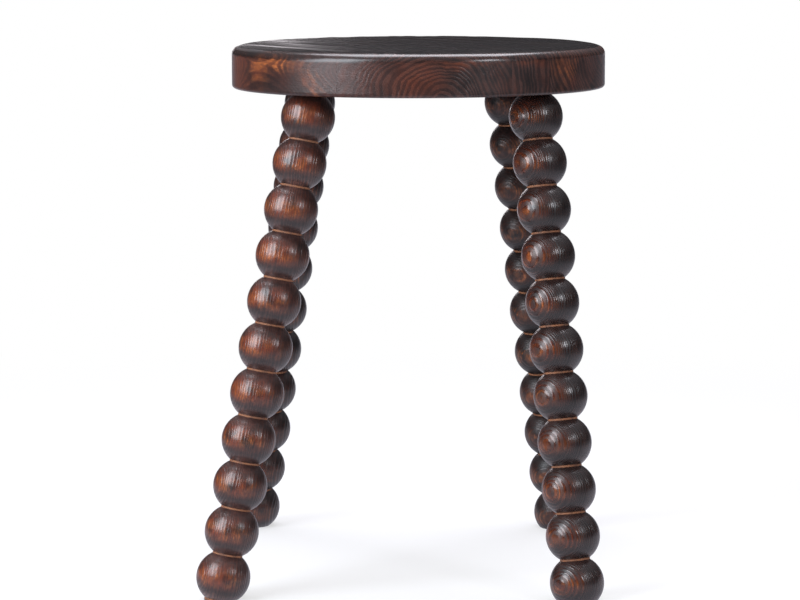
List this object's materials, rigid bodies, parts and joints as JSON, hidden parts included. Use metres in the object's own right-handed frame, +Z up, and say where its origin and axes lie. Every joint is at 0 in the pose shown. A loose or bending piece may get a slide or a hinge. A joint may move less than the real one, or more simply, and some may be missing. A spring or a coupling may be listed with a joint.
{
  "type": "stool",
  "caption": "Round wooden stool: a thick dark seat glued up from boards, on splayed bobbin-turned legs of stacked beads, for sitting on or as a small table.",
  "frame": {"origin": "on the floor, at the middle of the stool's bounding box; the seat's axis stands 13 mm to the right of it and 4 mm in front, because the left legs lean further than the right ones", "axes": "+Z up, -Y towards the viewer of the picture (the front), +X to the viewer's right"},
  "size_m": [0.3462, 0.3489, 0.454],
  "materials": {
    "dark_stained_wood": "dark stained softwood, brushed so that the rings stand up, rubbed through at the edges, waxed to a satin",
    "bare_hardwood": "bare, planed"
  },
  "bodies": {
    "root": {"front_left_leg": "dark_stained_wood", "front_right_leg": "dark_stained_wood", "back_left_leg": "dark_stained_wood", "back_right_leg": "dark_stained_wood", "seat_left_rim_strip": "dark_stained_wood", "seat_left_board": "dark_stained_wood", "seat_centre_strip": "dark_stained_wood", "seat_right_board": "dark_stained_wood", "seat_right_rim_strip": "dark_stained_wood", "front_left_wedge": "bare_hardwood", "front_right_wedge": "bare_hardwood", "back_left_wedge": "bare_hardwood", "back_right_wedge": "bare_hardwood", "seam_dowels": "bare_hardwood"}
  },
  "joints": []
}
